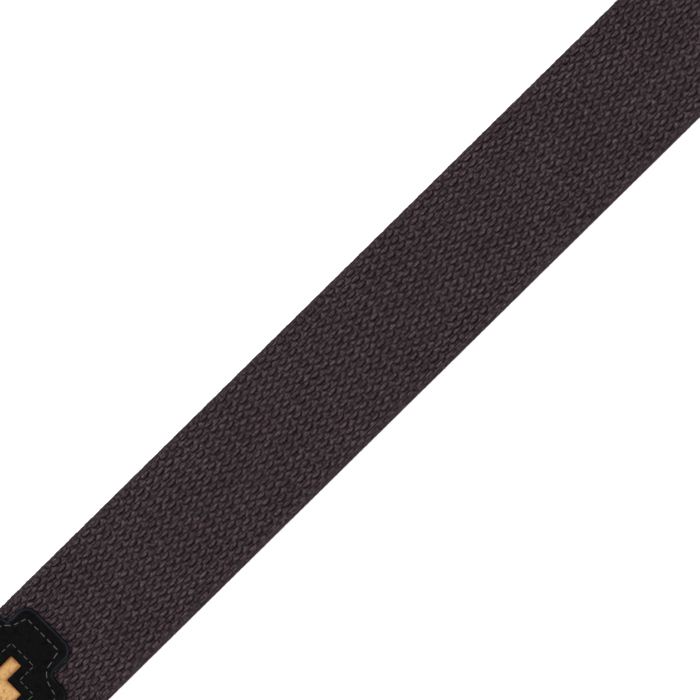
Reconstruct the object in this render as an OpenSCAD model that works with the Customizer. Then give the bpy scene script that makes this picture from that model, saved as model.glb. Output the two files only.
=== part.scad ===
// Guitar strap, two-inch cotton webbing, folded once and laid on a flat surface.
// +X runs along the strap towards the fold, +Y across it, +Z up from the surface it lies on.
// The origin is under the middle of the folded strap's bounding box.

/* [Webbing] */
// Width of the webbing
strap_w = 50.8; // [50:0.1:52]
// Thickness of the webbing
webbing_t = 2.0; // [1.8:0.1:2.2]
// Webbing in the upper run, from the fold to the end inside the front tab
upper_run = 465; // [455:1:480]
// Distance from the fold to the slider's middle bar
slider_reach = 548; // [546:1:580]
// Distance from the slider's middle bar to the ring
loop_run = 125; // [100:1:160]

/* [Leather] */
// Thickness of the tab leather
leather_t = 1.6; // [1.4:0.1:1.8]
// Length of each tab that lies over webbing
tab_overlap = 35; // [32:1:38]
// Length of each tab beyond the webbing
tab_free = 60; // [58:1:62]
// Radius of the button hole
button_r = 4.0; // [3.5:0.1:5]
// Thickness of the patch
patch_t = 2.0; // [1.8:0.1:2.4]
// Thickness of the inlay under the patch's window
inlay_t = 0.8; // [0.6:0.1:1]
// Distance from the fold to the middle of the patch
patch_reach = 380; // [360:1:380]

/* [Hardware] */
// Wire radius of the ring
ring_wire_r = 2.0; // [1.8:0.1:2.2]
// Distance between the ring's two bars
ring_pitch = 16; // [15:0.5:18]
// Wire radius of the slider
slider_wire_r = 1.5; // [1.3:0.1:1.6]
// Distance between neighbouring slider bars, along the strap
slider_pitch = 14; // [13:0.5:15]

/* [Stitching] */
// Thread width
thread_w = 0.6; // [0.5:0.1:0.8]
// Stitch pitch of the tabs and of the patch's outer row
stitch_pitch = 3.4; // [3:0.1:4]
// Stitch pitch of the row round the window
fine_pitch = 2.7; // [2.4:0.1:3]

/* [Hidden] */

ply_gap = 0.1;       // between webbing layers that lie on each other
wire_gap = 0.15;     // between webbing and a bar that turns in it
stitch_gap = 0.5;    // over the slider's sewn flap, for its stitches
tab_clear = 0.3;     // under the front tab
thread_h = 0.3;      // height of a stitch above the surface
arc_step = 12;       // degrees between points on a bend

webbing_rgb = [0.21, 0.18, 0.19];
leather_rgb = [0.07, 0.07, 0.075];
inlay_rgb = [0.86, 0.67, 0.40];
thread_rgb = [0.72, 0.72, 0.70];
metal_rgb = [0.75, 0.75, 0.74];

// Heights of the layers, each at the middle of its thickness
lower_mid = webbing_t / 2;
upper_bottom = webbing_t + tab_clear + leather_t;
upper_mid = upper_bottom + webbing_t / 2;
upper_top = upper_bottom + webbing_t;
fold_r = (upper_mid - lower_mid) / 2;
fold_z = (upper_mid + lower_mid) / 2;
double_mid = lower_mid + webbing_t + ply_gap;

// Distances from the fold, along the strap
ring_reach = slider_reach + loop_run;
tail_reach = ring_reach + ring_pitch;
wrap_end = slider_reach + 32;
slider_flap_end = slider_reach + 28;
tail_flap_end = tail_reach + 27;
rear_tab_start = tail_reach + 38;
tail_end = rear_tab_start + tab_overlap;
rear_tip = tail_end + tab_free;
fold_outer = fold_r + webbing_t / 2;
fold_x = (rear_tip - fold_outer) / 2;
run_end = slider_reach - slider_pitch - 4;

// Bend radii and bar heights
ring_bend = ring_wire_r + wire_gap + webbing_t / 2;
ring_z = lower_mid + ring_bend;
bar_bend = slider_wire_r + ply_gap + webbing_t / 2;
over_wrap = bar_bend + webbing_t + ply_gap;
flap_bend = bar_bend + webbing_t + stitch_gap;
leg_bend = flap_bend + webbing_t + ply_gap;
near_bar_z = lower_mid + bar_bend;
far_bar_z = lower_mid + leg_bend;
mid_bar_z = (near_bar_z + far_bar_z) / 2;
mid_wire_r = slider_wire_r - 0.1;
soft_bend = 8;       // radius of the webbing's easy bends
easy_bend = 12;      // radius where the loop opens towards the ring

// Plan shapes
frame_corner = 4;    // bend radius at the corners of the wire frames
frame_half = strap_w / 2 + 1.6;
side_reach = 0.5;    // how far a frame's short sides reach into its corners
side_relief = 0.05;  // how much thinner they are
tab_tip_r = 17;
tab_taper = 38;      // length over which a tab narrows
tab_len = tab_overlap + tab_free;
slit_w = 1.2;
slit_len = 12;
edge_margin = 4.2;   // from an edge to its row of stitches
window_margin = 3.2; // from the window to its row of stitches
inlay_margin = 4.6;  // from the window to the inlay's hidden edge
patch_round = 4.8;   // outside corners of the patch
patch_fillet = 2.2;  // inside corners of the patch
cut_long = 4.4;      // how a row of stitches cuts across an inside corner
cut_short = 1.8;

// Right-hand half of each stepped outline, from the bottom up: the left is its half turn
patch_steps = [
    [25, -25], [25, -15.2], [33, -15.2], [33, -4.5],
    [45.1, -4.5], [45.1, 20], [35.4, 20], [35.4, 25]
];
window_steps = [
    [8, -14.5], [8, -8.5], [14, -8.5], [14, -2], [20.4, -2],
    [20.4, 5.2], [27.6, 5.2], [27.6, 10.3], [20, 10.3], [20, 14.5]
];
patch_outline = concat(patch_steps, -patch_steps);
window_outline = concat(window_steps, -window_steps);

// ---- Paths in the XZ plane -------------------------------------------------

// X of a place, from its distance to the fold
function at(reach) = fold_x - reach;

function turn(a) = ((a % 360) + 360) % 360;

// Heading of the straight part between two bends. A bend is [x, z, r], with r
// positive where the path turns left round its centre, negative where it turns
// right, and 0 at an end of the path.
function heading(a, b) =
    atan2(b[1] - a[1], b[0] - a[0])
    - asin((b[2] - a[2]) / norm([b[0] - a[0], b[1] - a[1]]));

// Points beside a path, at a distance to its left
function rail(path, first, last, side) = [
    for (i = [0 : len(path) - 1])
        let (
            bend = path[i],
            r = bend[2],
            into = i == 0 ? first : heading(path[i - 1], bend),
            out = i == len(path) - 1 ? last : heading(bend, path[i + 1]),
            from = r == 0 && i == 0 ? out : into,
            swept = r == 0 ? 0 : sign(r) * turn(sign(r) * (out - into) + 0.001),
            steps = ceil(abs(swept) / arc_step)
        )
        for (k = [0 : steps])
            let (a = from + (steps == 0 ? 0 : swept * k / steps))
            [bend[0] + (r - side) * sin(a), bend[1] - (r - side) * cos(a)]
];

function backwards(points) = [for (i = [len(points) - 1 : -1 : 0]) points[i]];

// A flat strip of even thickness that follows a path
module strip(path, first, last, thick, wide) {
    rotate([90, 0, 0])
        linear_extrude(wide, center = true)
            polygon(concat(
                rail(path, first, last, thick / 2),
                backwards(rail(path, first, last, -thick / 2))
            ));
}

module webbing(path, first = 180, last = 180) {
    color(webbing_rgb) strip(path, first, last, webbing_t, strap_w);
}

// ---- Plan shapes -------------------------------------------------------------

function unit(v) = v / norm(v);

// Moves each side of a square-cornered outline inwards
function inset(points, d) = [
    for (i = [0 : len(points) - 1])
        let (
            before = points[(i + len(points) - 1) % len(points)],
            after = points[(i + 1) % len(points)],
            a = unit(points[i] - before),
            b = unit(after - points[i])
        )
        points[i] - d * [a[1] + b[1], -a[0] - b[0]]
];

// Insets a square-cornered outline, and cuts across its inside corners
function eased_inset(points, d) = [
    for (i = [0 : len(points) - 1])
        let (
            before = points[(i + len(points) - 1) % len(points)],
            after = points[(i + 1) % len(points)],
            a = unit(points[i] - before),
            b = unit(after - points[i]),
            corner = points[i] - d * [a[1] + b[1], -a[0] - b[0]],
            outside = a[0] * b[1] - a[1] * b[0] > 0
        )
        each outside ? [corner] : [
            corner - cut_long * a + cut_short * b,
            corner - cut_short * a + cut_long * b
        ]
];

// Rounds a square-cornered outline: round_r outside corners, fillet_r inside ones
function rounded(points, round_r, fillet_r) = [
    for (i = [0 : len(points) - 1])
        let (
            before = points[(i + len(points) - 1) % len(points)],
            after = points[(i + 1) % len(points)],
            a = unit(points[i] - before),
            b = unit(after - points[i]),
            outside = a[0] * b[1] - a[1] * b[0] > 0,
            r = outside ? round_r : fillet_r,
            centre = points[i] + r * (b - a)
        )
        for (k = [0 : 6])
            let (w = 90 * k / 6)
            centre - r * (b * cos(w) - a * sin(w))
];

module slab(points, low, high) {
    translate([0, 0, low]) linear_extrude(high - low) polygon(points);
}

// One stitch for each pitch along a list of points
module stitches(points, pitch, top, closed = true) {
    count = len(points);
    color(thread_rgb)
        for (i = [0 : closed ? count - 1 : count - 2]) {
            from = points[i];
            run = points[(i + 1) % count] - from;
            number = max(1, round(norm(run) / pitch));
            for (k = [0 : number - 1])
                translate(concat(from + run * (k + 0.5) / number, top + thread_h / 2))
                    rotate(atan2(run[1], run[0]))
                        cube([0.6 * norm(run) / number, thread_w, thread_h], center = true);
        }
}

// Rows of stitches straight across the webbing
module cross_rows(places, top) {
    half = strap_w / 2 - edge_margin;
    for (x = places)
        stitches([[x, -half], [x, half]], stitch_pitch, top, closed = false);
}

// ---- Webbing -------------------------------------------------------------------

module lower_webbing() {
    webbing([[fold_x, lower_mid, 0], [at(run_end), lower_mid, 0]]);
}

module fold_webbing() {
    webbing([[fold_x, fold_z, fold_r]], first = 0, last = 180);
}

module upper_webbing() {
    webbing([[fold_x, upper_mid, 0], [at(upper_run), upper_mid, 0]]);
}

// Under the slider's near bar, over the middle bar, under the far bar
module slider_webbing() {
    webbing([
        [at(run_end), lower_mid, 0],
        [at(slider_reach - slider_pitch), near_bar_z, -bar_bend],
        [at(slider_reach), mid_bar_z, over_wrap],
        [at(slider_reach + slider_pitch), far_bar_z, -bar_bend],
        [at(wrap_end), far_bar_z - bar_bend, 0]
    ]);
}

// The sewn end: in under the far bar, round the middle bar and back as a flap
module slider_wrap_webbing() {
    webbing([
        [at(wrap_end), lower_mid, 0],
        [at(slider_reach + slider_pitch), far_bar_z, leg_bend],
        [at(slider_reach), mid_bar_z, bar_bend],
        [at(slider_reach + slider_pitch), far_bar_z, -flap_bend],
        [at(slider_flap_end), far_bar_z - flap_bend, 0]
    ], first = 0);
}

// From the slider down onto the return leg, then up over the ring's bar
module loop_top_webbing() {
    webbing([
        [at(wrap_end), far_bar_z - bar_bend, 0],
        [at(wrap_end + 6), far_bar_z - bar_bend - soft_bend, soft_bend],
        [at(wrap_end + 22), double_mid + soft_bend, -soft_bend],
        [at(ring_reach - 21), double_mid + easy_bend, -easy_bend],
        [at(ring_reach), ring_z, ring_bend]
    ]);
}

module loop_bend_webbing() {
    webbing([[at(ring_reach), ring_z, ring_bend]], first = 180, last = 0);
}

module return_leg_webbing() {
    webbing([[at(ring_reach), lower_mid, 0], [at(wrap_end), lower_mid, 0]]);
}

// From inside the rear tab, round the ring's far bar and back as a sewn flap
module tail_webbing() {
    tab_mid = leather_t + webbing_t / 2;
    webbing([
        [at(tail_end), tab_mid, 0],
        [at(rear_tab_start - 1), tab_mid - soft_bend, -soft_bend],
        [at(tail_flap_end + 1), lower_mid + soft_bend, soft_bend],
        [at(tail_reach), ring_z, ring_bend],
        [at(tail_reach + 16), double_mid + soft_bend, -soft_bend],
        [at(tail_flap_end), double_mid, 0]
    ], first = 0);
}

// ---- Hardware ------------------------------------------------------------------

// Wire bent to a rectangle in the XY plane, measured along the wire's middle.
// The short sides are a hair thinner than the bent corners, and end inside them.
module wire_frame(half_x, half_y, wire_r) {
    straight_x = half_x - frame_corner;
    straight_y = half_y - frame_corner;
    for (s = [-1, 1]) {
        translate([s * half_x, 0, 0]) rotate([90, 0, 0])
            cylinder(h = 2 * straight_y, r = wire_r, center = true, $fn = 32);
        translate([0, s * half_y, 0]) rotate([0, 90, 0])
            cylinder(h = 2 * (straight_x + side_reach), r = wire_r - side_relief,
                center = true, $fn = 32);
    }
    for (quarter = [0 : 3])
        translate([
            (quarter == 0 || quarter == 3 ? 1 : -1) * straight_x,
            (quarter < 2 ? 1 : -1) * straight_y, 0
        ])
            rotate(90 * quarter)
                rotate_extrude(angle = 90, $fn = 48)
                    translate([frame_corner, 0]) circle(r = wire_r, $fn = 32);
}

module ring() {
    color(metal_rgb)
        translate([at(ring_reach + ring_pitch / 2), 0, ring_z])
            wire_frame(ring_pitch / 2, frame_half + ring_wire_r, ring_wire_r);
}

module tri_glide() {
    rise = far_bar_z - mid_bar_z;
    half_y = frame_half + slider_wire_r;
    color(metal_rgb)
        translate([at(slider_reach), 0, mid_bar_z])
            rotate([0, atan2(rise, slider_pitch), 0]) {
                wire_frame(norm([rise, slider_pitch]), half_y, slider_wire_r);
                rotate([90, 0, 0])
                    cylinder(h = 2 * half_y, r = mid_wire_r, center = true, $fn = 32);
            }
}

// ---- Leather tabs ---------------------------------------------------------------

// Half width of a tab: full over the webbing, then narrowing to the round tip
function tab_half(x) =
    let (u = max(0, min(1, (x - (tab_len - tab_tip_r - tab_taper)) / tab_taper)))
    strap_w / 2 - (strap_w / 2 - tab_tip_r) * (1 - cos(180 * u)) / 2;

tab_side = concat(
    [[0, strap_w / 2]],
    [for (k = [0 : 16])
        let (x = tab_len - tab_tip_r - tab_taper * (1 - k / 16)) [x, tab_half(x)]],
    [for (a = [75 : -15 : 15])
        [tab_len - tab_tip_r + tab_tip_r * cos(a), tab_tip_r * sin(a)]]
);

// Plan of a tab, with its square end at x = 0 and its tip towards -X
module tab_plan() {
    difference() {
        mirror([1, 0])
            polygon(concat(
                tab_side, [[tab_len, 0]],
                backwards([for (p = tab_side) [p[0], -p[1]]])
            ));
        translate([-tab_len + tab_tip_r, 0]) circle(r = button_r, $fn = 64);
        translate([-tab_len + tab_tip_r, -slit_w / 2]) square([slit_len, slit_w]);
    }
}

module tab_bottom(start, low) {
    color(leather_rgb)
        translate([at(start), 0, low]) linear_extrude(leather_t) tab_plan();
}

// The top leather lies on the webbing, then steps down onto the bottom leather
module tab_top(start, low) {
    high_mid = low + leather_t + webbing_t + leather_t / 2;
    low_mid = low + leather_t * 1.5;
    step_at = start + tab_overlap;
    color(leather_rgb)
        intersection() {
            strip([
                [at(start - 1), high_mid, 0],
                [at(step_at + 2), high_mid - soft_bend, soft_bend],
                [at(step_at + 12), low_mid + soft_bend, -soft_bend],
                [at(start + tab_len + 1), low_mid, 0]
            ], 180, 180, leather_t, 2 * strap_w);
            translate([at(start), 0, low]) linear_extrude(4 * soft_bend) tab_plan();
        }
}

module tab_stitching(start, low) {
    far = at(start + tab_overlap - edge_margin);
    near = at(start + edge_margin);
    half = strap_w / 2 - edge_margin;
    stitches(
        [[near, -half], [near, half], [far, half], [far, -half]],
        stitch_pitch, low + 2 * leather_t + webbing_t
    );
}

front_tab_start = upper_run - tab_overlap;
front_tab_low = upper_bottom - leather_t;

module front_tab_top() { tab_top(front_tab_start, front_tab_low); }
module front_tab_bottom() { tab_bottom(front_tab_start, front_tab_low); }
module front_tab_stitching() { tab_stitching(front_tab_start, front_tab_low); }
module rear_tab_top() { tab_top(rear_tab_start, 0); }
module rear_tab_bottom() { tab_bottom(rear_tab_start, 0); }
module rear_tab_stitching() { tab_stitching(rear_tab_start, 0); }

// ---- Patch ----------------------------------------------------------------------

// Black leather with a stepped window, and a shallow pocket under it for the inlay
module patch_base() {
    color(leather_rgb)
        translate([at(patch_reach), 0, upper_top])
            difference() {
                slab(rounded(patch_outline, patch_round, patch_fillet), 0, patch_t);
                slab(window_outline, -1, patch_t + 1);
                slab(inset(window_outline, -inlay_margin), -1, inlay_t);
            }
}

module patch_inlay() {
    color(inlay_rgb)
        translate([at(patch_reach), 0, upper_top])
            slab(inset(window_outline, -inlay_margin), 0, inlay_t);
}

module patch_outer_stitching() {
    translate([at(patch_reach), 0, 0])
        stitches(eased_inset(patch_outline, edge_margin), stitch_pitch, upper_top + patch_t);
}

module patch_inner_stitching() {
    translate([at(patch_reach), 0, 0])
        stitches(inset(window_outline, -window_margin), fine_pitch, upper_top + patch_t);
}

// ---- Sewn flaps -------------------------------------------------------------------

module slider_stitching() {
    cross_rows(
        [at(slider_flap_end - 3), at(slider_flap_end - 10)],
        far_bar_z - flap_bend + webbing_t / 2
    );
}

module tail_stitching() {
    cross_rows([at(tail_flap_end - 3), at(tail_flap_end - 9)], double_mid + webbing_t / 2);
}

lower_webbing();
fold_webbing();
upper_webbing();
slider_webbing();
slider_wrap_webbing();
loop_top_webbing();
loop_bend_webbing();
return_leg_webbing();
tail_webbing();
tri_glide();
ring();
front_tab_top();
front_tab_bottom();
rear_tab_top();
rear_tab_bottom();
patch_base();
patch_inlay();
patch_outer_stitching();
patch_inner_stitching();
front_tab_stitching();
rear_tab_stitching();
slider_stitching();
tail_stitching();
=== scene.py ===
"""Looks for a folded guitar strap: woven webbing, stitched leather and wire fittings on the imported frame.

Sizes are in millimetres until a mesh is made. X runs along the strap towards the fold, Y across it, Z up.
"""

import math

import bpy
import numpy as np
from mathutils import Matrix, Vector
from mathutils.geometry import delaunay_2d_cdt


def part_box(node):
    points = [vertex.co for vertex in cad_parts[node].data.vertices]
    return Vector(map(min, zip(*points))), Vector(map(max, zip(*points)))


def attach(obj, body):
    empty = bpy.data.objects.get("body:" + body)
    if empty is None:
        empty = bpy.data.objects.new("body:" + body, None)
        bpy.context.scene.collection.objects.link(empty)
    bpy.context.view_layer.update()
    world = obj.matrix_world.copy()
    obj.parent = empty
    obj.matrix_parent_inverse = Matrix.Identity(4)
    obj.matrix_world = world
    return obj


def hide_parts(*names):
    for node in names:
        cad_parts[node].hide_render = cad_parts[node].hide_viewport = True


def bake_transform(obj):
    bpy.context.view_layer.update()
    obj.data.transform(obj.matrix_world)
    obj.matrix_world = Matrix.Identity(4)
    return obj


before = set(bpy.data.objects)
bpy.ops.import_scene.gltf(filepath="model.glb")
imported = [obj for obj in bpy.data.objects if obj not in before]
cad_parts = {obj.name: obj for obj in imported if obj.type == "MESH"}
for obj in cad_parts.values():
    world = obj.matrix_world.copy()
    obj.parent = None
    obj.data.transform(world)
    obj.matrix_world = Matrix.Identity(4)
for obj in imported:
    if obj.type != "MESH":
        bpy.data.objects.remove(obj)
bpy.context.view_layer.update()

MM = 0.001


def node_box(node):
    """Lowest and highest corner of a CAD node, in millimetres."""
    low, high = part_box(node)
    return np.array(low) / MM, np.array(high) / MM


# ---- Sizes, read from the frame where it has them ----

lower_low, lower_high = node_box("lower_webbing")
upper_low, upper_high = node_box("upper_webbing")
slider_low, slider_high = node_box("slider_webbing")
bend_low, bend_high = node_box("loop_bend_webbing")
ring_low, ring_high = node_box("ring")
glide_low, glide_high = node_box("tri_glide")
patch_low, patch_high = node_box("patch_base")
inlay_low, inlay_high = node_box("patch_inlay")
front_low, front_high = node_box("front_tab_bottom")
rear_low, rear_high = node_box("rear_tab_bottom")

strap_w = lower_high[1] - lower_low[1]
webbing_t = lower_high[2] - lower_low[2]
leather_t = front_high[2] - front_low[2]
fold_x = lower_high[0]
lower_mid = (lower_low[2] + lower_high[2]) / 2
upper_mid = (upper_low[2] + upper_high[2]) / 2
fold_r = (upper_mid - lower_mid) / 2
fold_z = (upper_mid + lower_mid) / 2
ply_gap = 0.1  # between webbing layers that lie on each other
double_mid = lower_mid + webbing_t + ply_gap
soft_bend = 8.0  # radius of the webbing's easy bends
easy_bend = 12.0  # radius where the loop opens towards the ring

ring_wire_r = (ring_high[2] - ring_low[2]) / 2
ring_bend = (bend_high[2] - bend_low[2] - webbing_t) / 2
ring_z = (bend_low[2] + bend_high[2]) / 2
near_ring_x = bend_high[0]
far_ring_x = ring_low[0] + ring_wire_r
tail_flap_len = 27.0
tail_flap_x = far_ring_x - tail_flap_len

slider_wire_r = 1.5
slider_pitch = 14.0
stitch_gap = 0.5  # over the slider's sewn flap, for its stitches
bar_bend = slider_wire_r + ply_gap + webbing_t / 2
over_wrap = bar_bend + webbing_t + ply_gap
flap_bend = bar_bend + webbing_t + stitch_gap
leg_bend = flap_bend + webbing_t + ply_gap
near_bar_z = lower_mid + bar_bend
far_bar_z = lower_mid + leg_bend
mid_bar_z = (near_bar_z + far_bar_z) / 2
mid_bar_x = (glide_low[0] + glide_high[0]) / 2
run_end_x = slider_high[0]
wrap_end_x = slider_low[0]
slider_flap_len = 28.0
slider_flap_x = mid_bar_x - slider_flap_len

tab_len = front_high[0] - front_low[0]
tab_overlap = 35.0
tab_tip_r = 17.0
tab_taper = 38.0  # length over which a tab narrows
button_r = 4.0
slit_w = 1.2
slit_len = 12.0
edge_margin = 4.2  # from an edge to its row of stitches
window_margin = 3.2  # from the window to its row of stitches
inlay_margin = 4.6  # from the window to the inlay's hidden edge
patch_round = 4.8  # outside corners of the patch
patch_fillet = 2.2  # inside corners of the patch
cut_long = 4.4  # how a row of stitches cuts across an inside corner
cut_short = 1.8
stitch_pitch = 3.4
fine_pitch = 2.7  # of the row round the window

# Right-hand half of each stepped outline, as in the CAD: the left is its half turn
patch_steps = [(25, -25), (25, -15.2), (33, -15.2), (33, -4.5),
               (45.1, -4.5), (45.1, 20), (35.4, 20), (35.4, 25)]
window_steps = [(8, -14.5), (8, -8.5), (14, -8.5), (14, -2), (20.4, -2),
                (20.4, 5.2), (27.6, 5.2), (27.6, 10.3), (20, 10.3), (20, 14.5)]

# The weave repeats over one cell: a long float, and half a cell away a peaked one
CELL_S = 4.905  # along the strap
CELL_V = 2.855  # across it
WEAVE_DEPTH = 0.36
WEAVE_PROUD = 0.02  # how far the highest yarn stands over the CAD's face
FLOAT_COLUMNS = 320
FLOAT_ROWS = 24
ROW_SLIP = 0.16  # chance shifts: of a whole row of floats along the strap,
FLOAT_SLIP = 0.12  # of one float along it,
FLOAT_SHIFT = 0.05  # of one float across it,
FLOAT_STRETCH = 0.06  # and of its length, as a share
EDGE_R = 1.0  # half round of the webbing's edge
SELVEDGE = 2.1  # width of the fine yarns along each edge
FINE_YARN = 0.64  # width of each of them
BACK_SHIFT = 60.0  # takes the back's patterns away from the face's
BACK_LAYER = 7.0
TAIL_START = 1.3  # where in the weave the tail's length begins
# Unevenness of the webbing's edges: size, radians for each millimetre, and start
EDGE_WAVES = ((0.13, 2.56, 0.0), (0.07, 0.83, 1.0), (0.07, 4.1, 0.0))
EDGE_SETBACK = 0.12  # how far the middle of the edge stays inside the CAD's


def smooth(low, high, x):
    """0 below low, 1 above high, and a smooth step between."""
    t = np.clip((x - low) / (high - low), 0, 1)
    return t * t * (3 - 2 * t)


def hump(x, half):
    """1 at 0, and about a third at a distance of half."""
    return np.exp(-((x / half) ** 2))


def full_turn(count):
    """Angles of a number of places round a circle."""
    return np.linspace(0, 2 * np.pi, count + 1)[:-1]


# ---- Paths in the XZ plane ----

PATH_STEP = 0.05  # largest turn between two points of a path, in radians
TINY_TURN = 1e-5  # keeps a bend of no angle from becoming a whole turn


def heading(a, b):
    """Heading of the straight part between two bends, each (x, z, r) with r positive for a left turn."""
    away = math.hypot(b[0] - a[0], b[1] - a[1])
    return math.atan2(b[1] - a[1], b[0] - a[0]) - math.asin((b[2] - a[2]) / away)


def route(bends, first=None, last=None):
    """Distance, x, z and heading at closely spaced places along a path of bends."""
    rows = []
    at = 0.0
    angle = first if bends[0][2] else heading(bends[0], bends[1])
    for i, (x, z, r) in enumerate(bends):
        into = heading(bends[i - 1], bends[i]) if i else angle
        out = last if i == len(bends) - 1 else heading(bends[i], bends[i + 1])
        side = math.copysign(1, r)
        swept = side * ((side * (out - into) + TINY_TURN) % (2 * math.pi)) if r else 0.0
        steps = math.ceil(abs(swept) / PATH_STEP)
        for k in range(steps + 1):
            a = angle + (swept * k / steps if steps else 0)
            px = x + r * math.sin(a)
            pz = z - r * math.cos(a)
            if rows:
                at += abs(r * swept) / steps if k else math.dist((px, pz), rows[-1][1:3])
            rows.append((at, px, pz, a))
        angle += swept
    return np.array(rows).T


def along(path, s):
    """x, z and heading at distances s, running straight on past either end."""
    at, x, z, angle = path
    a = np.interp(s, at, angle)
    over = s - np.clip(s, at[0], at[-1])
    return np.interp(s, at, x) + over * np.cos(a), np.interp(s, at, z) + over * np.sin(a), a


loop_falls_x = wrap_end_x - 6  # where the loop's top bends down from the slider,
loop_lies_x = wrap_end_x - 22  # lies on the leg under it,
loop_lifts_x = near_ring_x + 21  # and bends up to the ring
tail_falls_x = rear_high[0] + 1  # where the tail bends down from its tab,
tail_lies_x = tail_flap_x - 1  # lies flat,
flap_lies_x = far_ring_x - 16  # and, past the ring, lies on itself

# The main webbing in order from the front tab, its face always on the left
main_webbing = {
    "upper": route([(upper_low[0], upper_mid, 0), (fold_x, upper_mid, 0)]),
    "fold": route([(fold_x, fold_z, -fold_r)], first=0, last=math.pi),
    "lower": route([(fold_x, lower_mid, 0), (run_end_x, lower_mid, 0)]),
    "slider": route([
        (run_end_x, lower_mid, 0),
        (mid_bar_x + slider_pitch, near_bar_z, -bar_bend),
        (mid_bar_x, mid_bar_z, over_wrap),
        (mid_bar_x - slider_pitch, far_bar_z, -bar_bend),
        (wrap_end_x, far_bar_z - bar_bend, 0),
    ]),
    "loop_top": route([
        (wrap_end_x, far_bar_z - bar_bend, 0),
        (loop_falls_x, far_bar_z - bar_bend - soft_bend, soft_bend),
        (loop_lies_x, double_mid + soft_bend, -soft_bend),
        (loop_lifts_x, double_mid + easy_bend, -easy_bend),
        (near_ring_x, ring_z, ring_bend),
    ], last=math.pi),
    "loop_bend": route([(near_ring_x, ring_z, ring_bend)], first=math.pi, last=0),
    "return_leg": route([(near_ring_x, lower_mid, 0), (wrap_end_x, lower_mid, 0)]),
    "slider_wrap": route([
        (wrap_end_x, lower_mid, 0),
        (mid_bar_x - slider_pitch, far_bar_z, leg_bend),
        (mid_bar_x, mid_bar_z, bar_bend),
        (mid_bar_x - slider_pitch, far_bar_z, -flap_bend),
        (slider_flap_x, far_bar_z - flap_bend, 0),
    ]),
}
tail_mid = leather_t + webbing_t / 2
tail_route = route([
    (rear_high[0] - tab_overlap, tail_mid, 0),
    (tail_falls_x, tail_mid - soft_bend, -soft_bend),
    (tail_lies_x, lower_mid + soft_bend, soft_bend),
    (far_ring_x, ring_z, ring_bend),
    (flap_lies_x, double_mid + soft_bend, -soft_bend),
    (tail_flap_x, double_mid, 0),
])


# ---- Meshes ----


def make_mesh(name, points, faces, material):
    """A smooth object from points in millimetres and lists of faces, one for each number of corners."""
    mesh = bpy.data.meshes.new(name)
    corners = np.concatenate([np.asarray(f, np.int32).ravel() for f in faces])
    totals = np.concatenate([np.full(len(f), np.shape(f)[1], np.int32) for f in faces])
    mesh.vertices.add(len(points))
    mesh.vertices.foreach_set("co", (np.asarray(points) * MM).astype(np.float32).ravel())
    mesh.loops.add(len(corners))
    mesh.loops.foreach_set("vertex_index", corners)
    mesh.polygons.add(len(totals))
    mesh.polygons.foreach_set("loop_start", np.cumsum(totals) - totals)
    mesh.materials.append(material)
    mesh.update(calc_edges=True)
    mesh.shade_smooth()
    obj = bpy.data.objects.new(name, mesh)
    bpy.context.scene.collection.objects.link(obj)
    return obj


def settle(obj, node, body):
    """Says which CAD node a piece replaces and the body it rides on."""
    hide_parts(node)
    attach(obj, body)


def set_values(obj, name, kind, values):
    """A mesh attribute, one value for each vertex."""
    field = {"FLOAT": "value", "FLOAT_VECTOR": "vector", "FLOAT_COLOR": "color"}[kind]
    made = obj.data.attributes.new(name, kind, "POINT")
    made.data.foreach_set(field, np.asarray(values, np.float32).ravel())


# ---- Materials ----


class Look:
    """A Principled material and short ways to add nodes to it."""

    def __init__(self, name, **settings):
        self.material = bpy.data.materials.new(name)
        self.material.use_nodes = True
        self.tree = self.material.node_tree
        self.shader = self.tree.nodes["Principled BSDF"]
        for socket, value in settings.items():
            self.shader.inputs[socket.replace("_", " ")].default_value = value

    def add(self, kind, output=0, inputs=None, **settings):
        """One output of a new node. An input is a value or another node's output."""
        made = self.tree.nodes.new("ShaderNode" + kind)
        for name, value in settings.items():
            setattr(made, name, value)
        for socket, value in (inputs or {}).items():
            self.feed(made, socket, value)
        return made.outputs[output]

    def feed(self, made, socket, value):
        if isinstance(value, bpy.types.NodeSocket):
            self.tree.links.new(value, made.inputs[socket])
        else:
            made.inputs[socket].default_value = value

    def values(self, name, output="Vector"):
        return self.add("Attribute", output, attribute_name=name)

    def channels(self, name):
        parts = self.tree.nodes.new("ShaderNodeSeparateColor")
        self.feed(parts, 0, self.values(name, "Color"))
        return parts.outputs

    def stretch(self, vector, scale):
        return self.add("VectorMath", 0, {0: vector, 1: scale}, operation="MULTIPLY")

    def noise(self, vector, detail, scale=1.0):
        return self.add("TexNoise", 0, {"Vector": vector, "Scale": scale, "Detail": detail})

    def maths(self, operation, a, b=0.0):
        return self.add("Math", 0, {0: a, 1: b}, operation=operation)

    def scaled(self, value, low, high, to_low, to_high):
        inputs = {0: value, 1: low, 2: high, 3: to_low, 4: to_high}
        return self.add("MapRange", 0, inputs)

    def mix(self, factor, a, b, blend="MIX"):
        return self.add("Mix", 2, {0: factor, 6: a, 7: b}, data_type="RGBA", blend_type=blend)

    def finish(self, colour, roughness, bump, depth):
        """The material, its bump so deep in millimetres."""
        self.feed(self.shader, "Base Color", colour)
        self.feed(self.shader, "Roughness", roughness)
        normal = self.add("Bump", 0, {"Height": bump, "Distance": depth * MM})
        self.feed(self.shader, "Normal", normal)
        return self.material


def grey(value):
    return (value, value, value, 1)


RIDGES_PER_CELL = 4
YARN = (0.0485, 0.0375, 0.0415, 1)
REDDER_YARN = (0.0530, 0.0355, 0.0400, 1)
RED_FLECK = (0.105, 0.040, 0.052, 1)
# the gap colour is painted shade, for the weave's gaps and its low yarn
PAINTED_GAP_SHADE = (0.0018, 0.0008, 0.0012, 1)


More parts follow.
